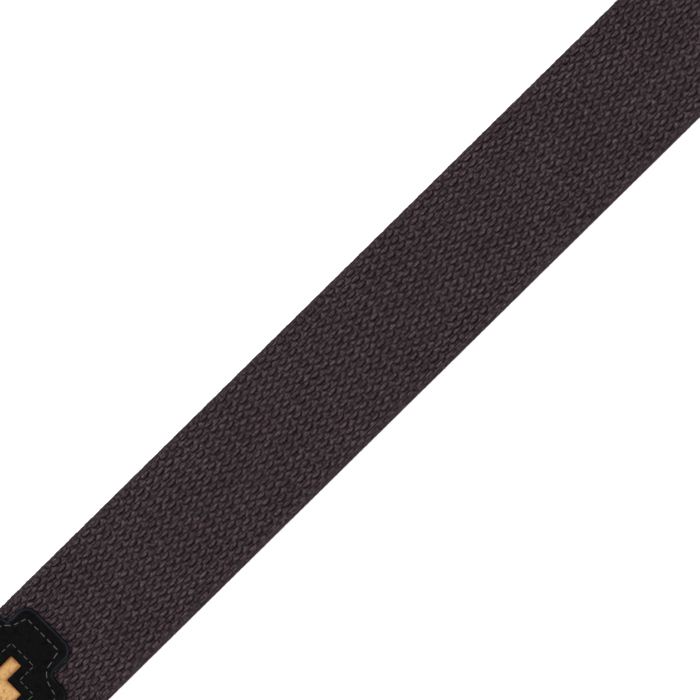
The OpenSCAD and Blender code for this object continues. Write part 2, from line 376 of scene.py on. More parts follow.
def cotton(name):
    """Dyed cotton yarn: fine strands along the strap, floats of slightly different colours, and painted
    shade in the gaps and on low yarn.

    Noises are stretched by their cycles for each millimetre along and across.
    """
    look = Look(name, Specular_IOR_Level=0.03)
    strap = look.values("strap")
    depth, tint, hue = look.channels("yarn")[:3]
    wander = look.noise(look.stretch(strap, (0.35, 0.5, 1)), detail=1.0)
    across = look.add("SeparateXYZ", 1, {0: strap})
    turn = look.maths("MULTIPLY", across, 2 * math.pi * RIDGES_PER_CELL / CELL_V)
    turn = look.maths("ADD", turn, look.scaled(wander, 0.3, 0.7, -2.6, -0.5))
    ridges = look.maths("SINE", turn)
    strands = look.noise(look.stretch(strap, (0.45, 1.5, 1)), detail=1.5)
    fibres = look.noise(look.stretch(strap, (1.15, 1.7, 1)), detail=3.0)
    mottle = look.noise(look.stretch(strap, (0.05, 0.09, 1)), detail=2.0)
    flecks = look.noise(look.stretch(strap, (0.8, 1.5, 1)), detail=1.0)
    yarn = look.mix(hue, YARN, REDDER_YARN)
    yarn = look.mix(look.scaled(flecks, 0.62, 0.74, 0, 0.4), yarn, RED_FLECK)
    light = look.scaled(tint, 0, 1, 0.8, 1.2)
    for pattern, low, high, dark, bright in (
        (ridges, -1, 1, 0.6, 1.4),
        (strands, 0.3, 0.7, 0.58, 1.5),
        (fibres, 0.32, 0.68, 0.4, 1.75),
        (mottle, 0.35, 0.65, 0.93, 1.07),
    ):
        light = look.maths("MULTIPLY", light, look.scaled(pattern, low, high, dark, bright))
    shade = look.add("CombineColor", 0, {0: light, 1: light, 2: light})
    lit = look.mix(1.0, yarn, shade, "MULTIPLY")
    # painted shade: the yarn is darkened towards the gap colour where it lies low and in the gaps
    colour = look.mix(depth, PAINTED_GAP_SHADE, lit)
    bump = look.maths("ADD", look.maths("MULTIPLY", ridges, 0.35), look.maths("ADD", strands, fibres))
    return look.finish(colour, look.scaled(fibres, 0.3, 0.7, 0.97, 0.8), bump, depth=0.08)


def leather(name, face, edge, shine, grain=1.7, depth=0.045, roughness=(0.5, 0.72)):
    """Leather in four face colours, and the edge colour where the edge attribute is 1, which paints a
    highlight on black leather's rim and shade on the tan's.

    Grain is in pebbles for each millimetre, and roughness a lowest and highest value.
    """
    look = Look(name, Specular_IOR_Level=shine)
    place = look.add("TexCoord", "Object")
    pebbles = look.add("TexVoronoi", 0, {"Vector": place, "Scale": grain / MM}, feature="SMOOTH_F1")
    creases = look.noise(place, 4.0, 0.35 * grain / MM)
    broad = look.noise(place, 3.0, 0.05 / MM)
    painted_rim_share = look.values("edge", "Fac")
    colour = look.mix(look.scaled(broad, 0.3, 0.7, 0, 1), face[0], face[1])
    colour = look.mix(look.scaled(pebbles, 0.1, 0.75, 0, 0.7), colour, face[2])
    colour = look.mix(look.scaled(creases, 0.5, 0.68, 0, 0.6), colour, face[3])
    colour = look.mix(painted_rim_share, colour, edge)
    surface_pattern = look.maths("ADD", creases, look.maths("MULTIPLY", pebbles, 0.4))
    rough = look.scaled(surface_pattern, 0.4, 0.9, *roughness)
    rough = look.maths("MULTIPLY", rough, look.scaled(painted_rim_share, 0, 1, 1, 0.6))
    bump = look.maths("SUBTRACT", look.maths("MULTIPLY", creases, 0.8), pebbles)
    return look.finish(colour, rough, bump, depth)


def thread_look(name):
    """Bonded polyester thread: its plies are in the mesh, its filaments here."""
    dark, light = (0.040, 0.037, 0.038, 1), (0.080, 0.076, 0.078, 1)
    look = Look(name, Specular_IOR_Level=0.25)
    place = look.add("TexCoord", "Object")
    wear = look.noise(place, 3.0, 0.9 / MM)
    fine = look.noise(place, 2.0, 6 / MM)
    colour = look.mix(look.scaled(wear, 0.3, 0.7, 0, 1), dark, light)
    return look.finish(colour, look.scaled(fine, 0.3, 0.7, 0.5, 0.75), fine, depth=0.02)


def nickel(name):
    """Plated wire, polished, with fine drawing lines and a few duller patches."""
    bright, duller = (0.72, 0.70, 0.665, 1), (0.60, 0.58, 0.55, 1)
    look = Look(name, Metallic=1.0)
    place = look.add("TexCoord", "Object")
    dull = look.noise(place, 4.0, 0.12 / MM)
    lines = look.noise(look.stretch(place, (9, 0.5, 9)), 2.0, 0.9 / MM)
    colour = look.mix(look.scaled(dull, 0.35, 0.7, 0, 1), bright, duller)
    uneven = look.maths("ADD", dull, look.maths("MULTIPLY", lines, 0.3))
    return look.finish(colour, look.scaled(uneven, 0.4, 0.95, 0.13, 0.3), lines, depth=0.006)


cotton_look = cotton("cotton_webbing")
black_leather = leather(
    "black_leather",
    ((0.0016, 0.0015, 0.0016, 1), (0.0023, 0.0022, 0.0022, 1),
     (0.0058, 0.0053, 0.0053, 1), (0.0007, 0.0006, 0.0006, 1)),
    # blue-grey rim colour: a painted highlight where the rolled edge would catch the light
    (0.0170, 0.0250, 0.0330, 1), shine=0.035,
)
tan_leather = leather(
    "tan_leather",
    ((0.60, 0.335, 0.120, 1), (0.72, 0.445, 0.180, 1),
     (0.43, 0.215, 0.066, 1), (0.22, 0.085, 0.022, 1)),
    # dark orange rim colour: painted shade on the inlay along the inside of the window
    (0.30, 0.105, 0.022, 1), shine=0.25, grain=2.2, depth=0.06, roughness=(0.55, 0.8),
)
sewing_thread = thread_look("thread")
plated_wire = nickel("nickel_plate")


# ---- Webbing ----

# Places across one cell where the weave turns, from the middle of a long float
FINE_PLACES = np.array([
    0.5, 0.3, 0, -0.3, -0.58, -0.74, -0.84, -0.95, -1.1, -1.4, -1.75, -2.02, -2.14, -2.26,
])
PLAIN_PLACES = np.array([0.4, 0, -0.5, -0.74, -0.86, -1.0, -1.4, -1.9, -2.15])
RARE = 2.2
# Five chances for each float, on both sides and in three kinds of yarn
yarn_random = np.random.default_rng(11).normal(size=(2, 3, 5, FLOAT_ROWS, FLOAT_COLUMNS)).clip(-RARE, RARE)


def long_float(x, y):
    """A flat-topped float, and the deep gap under its lower edge, which curls up round its ends. The gap is
    also painted dark as shade, on the float's side away from the light.
    """
    half_length = 1.70
    half_width = np.where(y > 0, 0.60, 0.76)
    squareness = np.where(y > 0, 3.5, 2.1)
    from_ends = np.abs(x / half_length) ** squareness
    high = np.sqrt(np.clip(1 - from_ends - np.abs(y / half_width) ** squareness, 0, 1))
    out = np.abs(x)
    gap_y = -0.87 + 0.62 * (out / 1.85) ** 3
    gap = hump(y - gap_y, 0.25) * (1 - smooth(1.6, 2.1, out))
    return high, gap * (0.72 + 0.28 * hump(out - 0.8, 0.5))


def peaked_float(x, y):
    """A float that is flat below and rises to a peak between two long ones. It has no gap of its own."""
    t = smooth(-0.35, 1.15, y)
    half_length = 1.62 - 1.32 * t
    body = np.clip(1 - np.abs(x / half_length) ** 2.6, 0, 1)
    ends = np.clip((y + 0.66) / 0.36, 0, 1) * np.clip((1.32 - y) / 0.5, 0, 1)
    return np.sqrt(body * ends) * (1 - 0.33 * t), 0 * y


def float_set(s, v, offset, random, shape):
    """Height, gap, tint, hue and distance from the middle of one set of floats."""
    row = np.rint((v - offset * CELL_V) / CELL_V).astype(int)
    slip = ROW_SLIP * random[0, row, 0] + offset * CELL_S
    column = np.rint((s - slip) / CELL_S).astype(int)
    chance = random[:, row, column]
    x = s - slip - CELL_S * column - FLOAT_SLIP * chance[0]
    y = v - offset * CELL_V - CELL_V * row - FLOAT_SHIFT * chance[1]
    x = x / (1 + FLOAT_STRETCH * chance[2])
    high, gap = shape(x, y)
    return high * (1 + 0.05 * chance[1]), gap * (1 + 0.12 * chance[2]), chance[3], chance[4], np.abs(x)


def selvedge(s, v, random):
    """The fine yarns along each edge, straight on one side and leaning on the other."""
    out = np.abs(v) - (strap_w / 2 - SELVEDGE)
    last_row = 4
    row = np.clip(np.floor(out / FINE_YARN), 0, last_row).astype(int)
    y = out / FINE_YARN - row - 0.5
    lean = np.where(v < 0, 1.1 * y, 0.0)
    turn = s / (CELL_S / 2 + 0.2 * (row % 2)) + 0.5 * row + lean + 0.1 * random[0, row, 0]
    column = np.rint(turn).astype(int)
    x = turn - column
    chance = random[:, row, column % FLOAT_COLUMNS]
    dome = np.sqrt(np.clip(1 - np.abs(x / 0.44) ** 4 - np.abs(y / 0.48) ** 2.4, 0, 1))
    # the groove inside the +Y edge's fine yarns is also painted dark as shade
    gap = 0.8 * hump(out + 0.03, 0.15) * (v > 0)
    return 0.24 + (0.62 + 0.08 * chance[1]) * dome, gap, chance[3], chance[4]


def weave(s, v, side):
    """Height, gap, tint and hue at distances s along and v across one side, each from 0 to about 1."""
    random = yarn_random[side]
    s = s + 1.1 * side + 0.12 * np.sin(s / 23.0) * np.cos(v / 6.1)
    v_in = v + 0.05 * np.sin(s / 17.0 + v / 5.0)
    long_high, gap, long_tint, long_hue, from_long = float_set(s, v_in, 0.0, random[0], long_float)
    peak_high, _, peak_tint, peak_hue, from_peak = float_set(s, v_in, 0.5, random[1], peaked_float)
    gap = gap * (1 - smooth(0.2, 0.6, peak_high))
    row = v_in / (CELL_V / 2)
    from_row = np.abs(row - np.rint(row)) * CELL_V / 2
    on_long_row = np.rint(row) % 2 == 0
    nearest_end = np.where(on_long_row, from_long - 1.86, from_peak - 1.7)
    notch = 1 - 0.8 * hump(nearest_end, 0.19)
    base = 0.5 * np.sqrt(np.clip(1 - (from_row / 0.66) ** 2, 0, 1)) * notch
    high = np.maximum(base, np.maximum(long_high, 0.95 * peak_high))
    use_long = long_high * (on_long_row + 0.3) > peak_high
    # peaked floats are tinted lighter than long ones, and the low yarn showing between floats is tinted
    # darker as painted shade
    tint = np.where(use_long, long_tint, peak_tint + 0.4)
    tint = np.where(base < high, tint, -1.1)
    hue = np.where(use_long, long_hue, peak_hue)
    fine = smooth(-0.12, 0.12, np.abs(v) - (strap_w / 2 - SELVEDGE))
    at_edge = selvedge(s, v, random[2])
    high, gap, tint, hue = (a + (b - a) * fine for a, b in zip((high, gap, tint, hue), at_edge))
    return high * (1 - 0.5 * gap), gap, 0.5 + 0.2 * tint, 0.45 + 0.16 * hue


def places_across(places):
    """Places across the flat of the webbing, from its -Y side to its +Y side."""
    last = math.ceil(strap_w / 2 / CELL_V) + 1
    cells = np.arange(-last, last + 1)[:, None] * CELL_V
    flat = np.sort((cells + places).ravel())
    limit = strap_w / 2 - EDGE_R
    inner = strap_w / 2 - SELVEDGE - 0.3
    fine = np.linspace(inner, limit, 11)
    return np.concatenate([-fine[::-1], flat[np.abs(flat) < inner - 0.06], fine])


def cross_section(face_places, back_places):
    """Middle, direction, place across, side and share of the weave's depth, round the webbing's section."""
    limit = strap_w / 2 - EDGE_R
    bend = np.radians(np.arange(10, 180, 10))
    near = np.where(bend < np.pi / 2, bend, np.pi - bend)
    share = 1 - 0.75 * (near / (np.pi / 2)) ** 2

    def flat(places, lean, side):
        return np.stack(np.broadcast_arrays(places, lean, places, side, 1.0))

    def edge(sign, lean, side):
        across = sign * (limit + EDGE_R * near)
        return np.stack(np.broadcast_arrays(sign * limit, lean, across, side, share))

    return np.concatenate([
        flat(places_across(face_places), 0.0, 0.0),
        edge(1, bend, bend > np.pi / 2),
        flat(places_across(back_places)[::-1], np.pi, 1.0),
        edge(-1, bend + np.pi, bend < np.pi / 2),
    ], axis=1)


def grid_faces(rows, columns):
    """Quads of a grid that closes round its columns."""
    first = np.arange(rows - 1)[:, None] * columns + np.arange(columns)
    after = np.arange(rows - 1)[:, None] * columns + (np.arange(columns) + 1) % columns
    return np.stack([first, first + columns, after + columns, after], axis=-1).reshape(-1, 4)


def woven(name, path, start, step, section, parts=1):
    """A length of woven webbing along a path, in equal closed parts that meet.

    The weave begins at start, the place of the path's first end on the whole strap.
    """
    middle, lean, across, side, share = section
    total = path[0][-1]
    rows = round(total / step / parts) * parts + 1
    s = np.linspace(0, total, rows)
    s = np.concatenate([[-s[1]], s, [total + s[1]]])
    place = s[:, None] + start
    high, gap, tint, hue = np.empty((4, len(s), len(across)))
    for face in (0, 1):
        use = side == face
        high[:, use], gap[:, use], tint[:, use], hue[:, use] = weave(place, across[None, use], face)
    reach = webbing_t / 2 + WEAVE_DEPTH * (high - 1) * share + WEAVE_PROUD
    scallop = sum(size * np.cos(turn * place + begin) for size, turn, begin in EDGE_WAVES)
    scallop = scallop * (1 - share) * np.where(middle > 0, 1, 0.3)
    reach = reach + scallop - EDGE_SETBACK * (1 - share)
    x, z, a = (part[:, None] for part in along(path, s))
    out = reach * np.cos(lean)
    points = np.stack([x - out * np.sin(a), middle + reach * np.sin(lean), z + out * np.cos(a)], axis=-1)
    down = np.gradient(points, axis=0)
    round_it = np.roll(points, -1, axis=1) - np.roll(points, 1, axis=1)
    normals = np.cross(down, round_it)
    normals /= np.linalg.norm(normals, axis=-1, keepdims=True)
    strap = np.stack(np.broadcast_arrays(place, across + BACK_SHIFT * side, BACK_LAYER * side), axis=-1)
    # painted shade: yarn lying low is darker, and the gaps under the floats are darkest
    depth = (0.3 + 0.7 * smooth(0.15, 0.75, high)) * (1 - 0.97 * np.clip(1.1 * gap, 0, 1))
    yarn = np.stack([depth, tint, hue, np.ones_like(tint)], axis=-1)
    made = []
    for part in range(parts):
        low = 1 + part * (rows - 1) // parts
        use = slice(low, low + (rows - 1) // parts + 1)
        label = name if parts == 1 else f"{name}_{part + 1}"
        angles = along(path, s[use])[2]
        made.append(woven_part(label, points[use], normals[use], strap[use], yarn[use], angles))
    return made


def woven_part(name, points, normals, strap, yarn, angles):
    """One closed mesh of webbing from a grid of points, each end closed by a fan.

    The grid's own normals make it smooth across the joins between parts.
    """
    rows, columns = points.shape[:2]
    count = rows * columns
    ends = np.stack([points[0].mean(axis=0), points[-1].mean(axis=0)])
    sides = grid_faces(rows, columns)
    ring = np.arange(columns)
    after = (ring + 1) % columns
    first_cap = np.stack([np.full(columns, count), ring, after], axis=-1)
    last = count - columns
    last_cap = np.stack([np.full(columns, count + 1), last + after, last + ring], axis=-1)
    flat = points.reshape(-1, 3)
    obj = make_mesh(name, np.concatenate([flat, ends]), [sides, first_cap, last_cap], cotton_look)
    cut_yarn = np.array([[0.3, 0.5, 0.5, 1]] * 2)
    set_values(obj, "strap", "FLOAT_VECTOR", np.concatenate([strap.reshape(-1, 3), strap[[0, -1], 0]]))
    set_values(obj, "yarn", "FLOAT_COLOR", np.concatenate([yarn.reshape(-1, 4), cut_yarn]))
    onward = [np.array([math.cos(a), 0, math.sin(a)]) for a in (angles[0], angles[-1])]
    by_corner = np.concatenate([
        normals.reshape(-1, 3)[sides.ravel()],
        np.tile(-onward[0], (3 * columns, 1)), np.tile(onward[1], (3 * columns, 1)),
    ])
    obj.data.normals_split_custom_set(by_corner.tolist())
    return obj


def blend_along(pieces):
    """Bakes each piece's transform into its mesh."""
    for piece in pieces:
        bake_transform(piece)


def webbing():
    """The one main webbing in its eight sections, and the tail's short length."""
    show = cross_section(FINE_PLACES, PLAIN_PLACES)
    plain = cross_section(PLAIN_PLACES, PLAIN_PLACES)
    rows = {  # steps in a cell, section round, parts, and what a section of its own rests on
        "upper": (12, show, 6, "lower_webbing"),
        "fold": (16, plain, 1, None),
        "lower": (10, plain, 4, "resting_surface"),
        "slider": (12, plain, 1, "tri_glide"),
        "loop_top": (10, plain, 1, "return_leg_webbing"),
        "loop_bend": (16, plain, 1, None),
        "return_leg": (10, plain, 1, "resting_surface"),
        "slider_wrap": (12, plain, 1, "tri_glide"),
    }
    start = 0.0
    made = {}
    for label, (steps, section, parts, _) in rows.items():
        path = main_webbing[label]
        made[label] = woven(f"webbing_{label}", path, start, CELL_S / steps, section, parts)
        start += path[0][-1]
    made["tail"] = woven("webbing_tail", tail_route, TAIL_START, CELL_S / 10, plain)
    for label, pieces in made.items():
        for piece in pieces:
            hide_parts(f"{label}_webbing")
    for label, body in (("upper", "upper_strap"), ("slider", "slider"), ("slider_wrap", "slider"),
                        ("loop_bend", "loop_end"), ("tail", "tail")):
        for piece in made[label]:
            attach(piece, body)
    blend_along(made["fold"])
    blend_along(made["lower"])
    loop = made["loop_top"] + made["return_leg"]
    blend_along(loop)


# ---- Plan shapes ----


def whole(half):
    """A stepped outline from its right-hand half."""
    half = np.array(half, float)
    return np.concatenate([half, -half])


def corner_directions(points):
    """Directions into and out of each corner."""
    into = points - np.roll(points, 1, axis=0)
    out = np.roll(points, -1, axis=0) - points
    return (v / np.linalg.norm(v, axis=1, keepdims=True) for v in (into, out))


def inset(points, d):
    """Moves each side of a square-cornered outline inwards."""
    into, out = corner_directions(points)
    turned = into + out
    return points - d * np.c_[turned[:, 1], -turned[:, 0]]


def eased_inset(points, d):
    """Moves each side of a square-cornered outline inwards, and cuts across its inside corners."""
    result = []
    for corner, a, b in zip(inset(points, d), *corner_directions(points)):
        if a[0] * b[1] - a[1] * b[0] > 0:
            result.append(corner)
        else:
            result += [corner - cut_long * a + cut_short * b, corner - cut_short * a + cut_long * b]
    return np.array(result)


def rounded(points, round_r, fillet_r):
    """Rounds a square-cornered outline: round_r outside corners, fillet_r inside ones."""
    into, out = corner_directions(points)
    result = []
    for p, a, b in zip(points, into, out):
        r = round_r if a[0] * b[1] - a[1] * b[0] > 0 else fillet_r
        centre = p + r * (b - a)
        turns = np.linspace(0, math.pi / 2, 13)
        result += [centre - r * (b * math.cos(w) - a * math.sin(w)) for w in turns]
    return np.array(result)


def spaced(points, step, closed=True):
    """The outline again, with its corners kept and points about step apart."""
    points = np.asarray(points, float)
    ends = np.roll(points, -1, axis=0) if closed else points[1:]
    result = []
    for a, b in zip(points, ends):
        count = max(1, round(np.linalg.norm(b - a) / step))
        if np.linalg.norm(b - a) > 1e-6:
            result += [a + (b - a) * k / count for k in range(count)]
    return np.array(result if closed else result + [points[-1]])


def away_from(points, loop, closed=True):
    """Distance from each point to a line."""
    ends = np.roll(loop, -1, axis=0) if closed else loop[1:]
    best = np.full(len(points), np.inf)
    for a, b in zip(loop, ends):
        run = b - a
        t = np.clip(((points - a) @ run) / (run @ run), 0, 1)
        best = np.minimum(best, np.hypot(*(points - a - t[:, None] * run).T))
    return best


def nearest(points, loops):
    """Distance from each point to the nearest of some closed lines."""
    return np.min([away_from(points, loop) for loop in loops], axis=0)


def inside(points, loops):
    """True where a point is inside the outline and in none of its holes."""
    odd = np.zeros(len(points), bool)
    x, y = points.T
    for loop in loops:
        for (ax, ay), (bx, by) in zip(loop, np.roll(loop, -1, axis=0)):
            if ay != by:
                odd ^= ((ay > y) != (by > y)) & (x < (bx - ax) * (y - ay) / (by - ay) + ax)
    return odd


# ---- Leather ----

RIM_REACHES = (0.12, 0.28, 0.5, 0.85, 1.3)  # rings of closer points along a cut edge


def plate(name, loops, step, heights, look, round_r=0.4, surface_pattern=None):
    """Leather cut to loops, outline first, its edges rounded to round_r.

    heights gives the lowest and highest z at points and their distances to the nearest edge.
    The last argument, a function, gives the edge attribute at points, the share of the rim's painted
    highlight or shade. Without it, every cut edge gets a painted highlight, in patches.
    """
    loops = [spaced(loop, step * 0.7) for loop in loops]
    edge = np.concatenate(loops)
    starts = np.cumsum([0] + [len(loop) for loop in loops])
    rims = []
    for loop in loops:
        tangent = np.roll(loop, -1, axis=0) - np.roll(loop, 1, axis=0)
        normal = np.c_[-tangent[:, 1], tangent[:, 0]]
        normal /= np.maximum(np.linalg.norm(normal, axis=1, keepdims=True), 1e-9)
        for reach in RIM_REACHES:
            for side in (-1, 1):
                ring = loop + side * reach * normal
                rims.append(ring[(nearest(ring, loops) > reach * 0.93) & inside(ring, loops)])
    low, high = edge.min(axis=0), edge.max(axis=0)
    xs = np.arange(low[0], high[0], step)
    ys = np.arange(low[1], high[1], step * 0.866)
    field = np.stack(np.meshgrid(xs, ys), axis=-1)
    field[1::2, :, 0] += step / 2
    field = field.reshape(-1, 2)
    field = field[inside(field, loops)]
    field = field[nearest(field, loops) > RIM_REACHES[-1] + step * 0.4]
    points = np.concatenate([edge, *rims, field])
    joined = [(a + k, a + (k + 1) % (b - a)) for a, b in zip(starts, starts[1:]) for k in range(b - a)]
    flat, _, faces, given, _, _ = delaunay_2d_cdt([Vector(p) for p in points], joined, [], 0, 1e-5)
    flat = np.array([tuple(p) for p in flat])
    faces = np.array(faces)
    faces = faces[inside(flat[faces].mean(axis=1), loops)]
    found = np.zeros(len(points), int)
    for new, old in enumerate(given):
        found[old] = new

    near = nearest(flat, loops)
    bottom, top = heights(flat, near)
    curl = round_r - np.sqrt(np.clip(round_r**2 - np.clip(round_r - near, 0, round_r) ** 2, 0, None))
    count = len(flat)
    upper = np.c_[flat, top - curl]
    lower = np.c_[flat, bottom + 0.6 * curl]
    rim = found[: len(edge)]
    belt = (upper[rim] + lower[rim]) / 2
    after = np.concatenate([np.roll(np.arange(a, b), -1) for a, b in zip(starts, starts[1:])])
    belt_at = 2 * count + np.arange(len(edge))
    walls = [
        np.stack([belt_at, belt_at[after], rim[after], rim], axis=-1),
        np.stack([count + rim, count + rim[after], belt_at[after], belt_at], axis=-1),
    ]
    obj = make_mesh(name, np.concatenate([upper, lower, belt]),
                    [faces, faces[:, ::-1] + count, *walls], look)
    rim_light_and_shade = surface_pattern(flat) if surface_pattern else painted_rim_highlight(flat, near)
    set_values(obj, "edge", "FLOAT", np.concatenate([rim_light_and_shade, rim_light_and_shade, np.zeros(len(edge))]))
    return obj


def ripple(points, seed, size):
    """Soft unevenness about 1 high."""
    angles = np.random.default_rng(seed).uniform(0, 2 * np.pi, (6, 2))
    waves = [np.sin(points @ np.array([np.cos(a), np.sin(a)]) * 2 * np.pi / (size * (1 + 0.3 * k)) + b)
             for k, (a, b) in enumerate(angles)]
    return np.sum(waves, axis=0) / 3


def painted_rim_highlight(points, near):
    """Where a highlight is painted along the leather's rounded edge, in patches."""
    return hump(near - 0.6, 0.3) * np.clip(0.55 + 0.4 * ripple(points, 9, 11), 0, 1)


STITCH_HALF = 0.33  # half a stitch's length, as a share of its pitch


def pressed(points, rows):
    """How deep the leather is pulled in along rows of stitches, each (corners, pitch, closed)."""
    deep = np.zeros(len(points))
    for corners, pitch, closed in rows:
        deep = np.maximum(deep, 0.13 * hump(away_from(points, corners, closed), 0.6))
        for middle, ahead, gap in stitch_runs(corners, pitch, closed):
            for side in (-1, 1):
                hole = middle + ahead * side * STITCH_HALF * gap
                deep = np.maximum(deep, 0.3 * np.exp(-(np.sum((points - hole) ** 2, axis=1) / 0.16)))
    return deep


def stitch_runs(corners, pitch, closed=True):
    """Middle, direction and pitch of each stitch along a line, as in the CAD."""
    corners = np.asarray(corners, float)
    ends = np.roll(corners, -1, axis=0) if closed else corners[1:]
    for a, b in zip(corners, ends):
        away = np.linalg.norm(b - a)
        count = max(1, round(away / pitch))
        for k in range(count):
            yield a + (b - a) * (k + 0.5) / count, (b - a) / away, away / count


def sew(name, body, node, rows, top):
    """Stitches of three-ply thread along rows, each (corners, pitch, closed), on a surface at top."""
    turns = full_turn(12)
    t = np.linspace(-1, 1, 15)
    size = len(t) * len(turns)
    rise = 0.3 * (1 - np.abs(t) ** 3.5) - 0.2
    ply = 1 + 0.16 * np.cos(3 * (turns[None] - 1.9 * t[:, None]))
    points, faces = [], []
    jitter = np.random.default_rng(5)
    for corners, pitch, closed in rows:
        for middle, ahead, gap in stitch_runs(corners, pitch, closed):
            half = STITCH_HALF * gap * jitter.uniform(0.94, 1.06)
            swing = jitter.normal(0, 0.035)
            ahead = np.array([ahead[0] - swing * ahead[1], ahead[1] + swing * ahead[0]])
            beside = np.array([-ahead[1], ahead[0], 0])
            line = np.c_[middle + np.outer(t * half, ahead), top + rise]
            thin = 0.066 * pitch * (1 - 0.35 * np.abs(t) ** 4)
            r = thin[:, None] * ply
            ring = line[:, None] + (r * np.cos(turns))[..., None] * beside
            ring[..., 2] += r * np.sin(turns) * 0.8
            faces.append(grid_faces(len(t), len(turns)) + size * len(points))
            points.append(ring.reshape(-1, 3))
    sides = np.concatenate(faces)
    each = np.arange(len(points))[:, None] * size
    cap = np.arange(len(turns))
    caps = np.concatenate([each + cap[::-1], each + size - len(turns) + cap])
    obj = make_mesh(name, np.concatenate(points), [sides[:, ::-1], caps[:, ::-1]], sewing_thread)
    settle(obj, node, body)


def patch():
    """The stepped leather patch with its window, the tan inlay under it, and two rows of stitches."""
    middle = np.array([(patch_low[0] + patch_high[0]) / 2, 0])
    outline = rounded(whole(patch_steps), patch_round, patch_fillet) + middle
    square_window = whole(window_steps)
    window = rounded(square_window, 0.45, 0.35) + middle
    under = patch_low[2]
    rows = [(eased_inset(whole(patch_steps), edge_margin) + middle, stitch_pitch, True),
            (inset(square_window, -window_margin) + middle, fine_pitch, True)]
    pocket = inlay_high[2] - inlay_low[2]

    def heights(points, near):
        from_outline = away_from(points, outline)
        from_window = away_from(points, window)
        bead = 0.17 * hump(from_outline - 1.0, 0.62)
        crease = 0.10 * hump(from_outline - 2.15, 0.35)
        lip = 0.06 * hump(from_window - 0.8, 0.5)
        top = patch_high[2] - 0.16 + bead - crease + lip - pressed(points, rows)
        bottom = under + pocket * (1 - smooth(inlay_margin - 0.6, inlay_margin, from_window))
        return bottom, top + 0.04 * ripple(points, 3, 15)

    def outline_highlight(points):
        return painted_rim_highlight(points, away_from(points, outline))

    base = plate("patch_leather", [outline, window[::-1]], 0.8, heights, black_leather, 0.5, outline_highlight)
    settle(base, "patch_base", "upper_strap")

    cut = rounded(inset(square_window, -inlay_margin + 0.7), 0.6, 0.4) + middle

    def inlay_heights(points, near):
        puff = 0.12 * smooth(0, 5, away_from(points, window) * inside(points, [window]))
        return np.full(len(points), under), under + pocket - 0.06 + puff + 0.03 * ripple(points, 8, 9)

    def shaded(points):
        deep = away_from(points, window) * inside(points, [window])
        return 1 - smooth(0.0, 1.5 + 0.4 * ripple(points, 4, 5), deep)

    inlay = plate("patch_inlay_leather", [cut], 0.6, inlay_heights, tan_leather, 0.2, shaded)
    settle(inlay, "patch_inlay", "upper_strap")
    sewn_top = patch_high[2] - 0.22
    sew("patch_outer_thread", "upper_strap", "patch_outer_stitching", rows[:1], sewn_top)
    sew("patch_inner_thread", "upper_strap", "patch_inner_stitching", rows[1:], sewn_top)


def tab_loops(start):
    """Outline and button hole of a tab, its square end at x = start and its tip towards -X."""
    hole_x = tab_len - tab_tip_r
    x = hole_x - tab_taper * np.linspace(1, 0, 25)
    narrow = (x - x[0]) / tab_taper
    side = strap_w / 2 - (strap_w / 2 - tab_tip_r) * (1 - np.cos(np.pi * narrow)) / 2
    tip = np.radians(np.arange(84, -85, -6))
    outline = np.concatenate([
        [(0, strap_w / 2)], np.c_[x, side],
        np.c_[hole_x + tab_tip_r * np.cos(tip), tab_tip_r * np.sin(tip)],
        np.c_[x, -side][::-1], [(0, -strap_w / 2)],
    ])
    gap = math.asin(slit_w / 2 / button_r)
    around = np.linspace(math.pi + gap, 3 * math.pi - gap, 49)
    hole = np.concatenate([
        np.c_[hole_x + button_r * np.cos(around), button_r * np.sin(around)],
        [(hole_x - slit_len, slit_w / 2), (hole_x - slit_len, -slit_w / 2)],
    ])
    return [np.c_[start - loop[:, 0], loop[:, 1]] for loop in (outline, hole)]


def tab(which, body, start, low):
    """Two leathers with the webbing's end between them, held by a box of stitches."""
    loops = tab_loops(start)
    low_mid = low + leather_t * 1.5
    high_mid = low_mid + webbing_t
    _, px, pz, angle = route([
        (start + 1, high_mid, 0),
        (start - tab_overlap - 2, high_mid - soft_bend, soft_bend),
        (start - tab_overlap - 12, low_mid + soft_bend, -soft_bend),
        (start - tab_len - 1, low_mid, 0),
    ])
    half = strap_w / 2 - edge_margin
    ends = (start - edge_margin, start - tab_overlap + edge_margin)
    box = np.array([(ends[0], -half), (ends[0], half), (ends[1], half), (ends[1], -half)])
    rows = [(box, stitch_pitch, True)]

    def crease(near):
        return 0.09 * hump(near - 2.0, 0.3)

    def top_heights(points, near):
        mid = np.interp(-points[:, 0], -px, pz)
        half_t = leather_t / 2 / np.abs(np.cos(np.interp(-points[:, 0], -px, angle)))
        top = mid + half_t - crease(near) - pressed(points, rows)
        return mid - half_t, top + 0.05 * (ripple(points, 21, 18) - 1)

    def bottom_heights(points, near):
        shallow = crease(near) * (near < 3)
        return low + shallow, np.full(len(points), low + leather_t)

    for part, heights in (("top", top_heights), ("bottom", bottom_heights)):
        piece = plate(f"{which}_tab_{part}_leather", loops, 0.9, heights, black_leather)
        settle(piece, f"{which}_tab_{part}", body)
    sewn_top = low + 2 * leather_t + webbing_t - 0.08
    sew(f"{which}_tab_thread", body, f"{which}_tab_stitching", rows, sewn_top)


def flap_stitches():
    """Two rows across each sewn flap."""
    half = strap_w / 2 - edge_margin
    for name, flap_x, reaches, flap_mid in (
        ("slider", slider_flap_x, (3, 10), far_bar_z - flap_bend),
        ("tail", tail_flap_x, (3, 9), double_mid),
    ):
        places = [flap_x + reach for reach in reaches]
        rows = [([(x, -half), (x, half)], stitch_pitch, False) for x in places]
        sew(f"{name}_thread", name, f"{name}_stitching", rows, flap_mid + webbing_t / 2 - 0.02)


# ---- Wire ----


